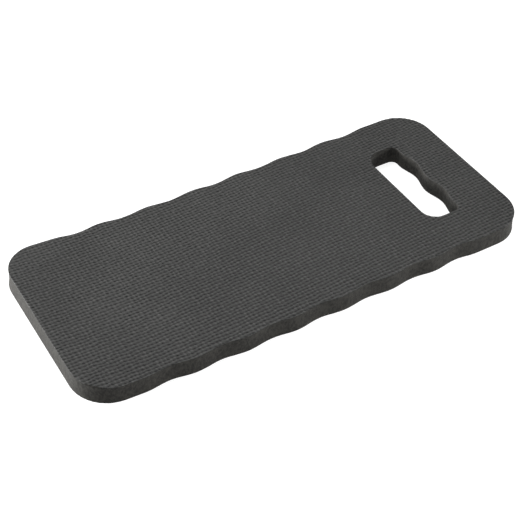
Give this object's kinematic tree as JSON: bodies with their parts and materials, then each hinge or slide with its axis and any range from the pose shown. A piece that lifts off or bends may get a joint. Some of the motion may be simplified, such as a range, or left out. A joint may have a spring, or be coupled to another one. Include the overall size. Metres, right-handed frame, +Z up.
{
  "type": "foam kneeling pad",
  "caption": "Flat charcoal foam kneeling pad with scalloped long sides, round corners, embossed faces and a hand slot with a waved grip at one end.",
  "frame": {"origin": "middle of the underside, the face that rests on the ground", "axes": "+X along the pad's length towards the hand slot, +Y across its width, +Z up from the underside to the kneeling face"},
  "size_m": [0.45, 0.195, 0.018],
  "materials": {
    "top_skin": "matte embossed closed-cell foam skin, fine woven-mesh dimples",
    "foam_core": "matte die-cut closed-cell foam, faintly mottled",
    "bottom_skin": "matte embossed closed-cell foam skin, fine woven-mesh dimples"
  },
  "bodies": {
    "root": {"top_skin": "top_skin", "foam_core": "foam_core", "bottom_skin": "bottom_skin"}
  },
  "joints": []
}
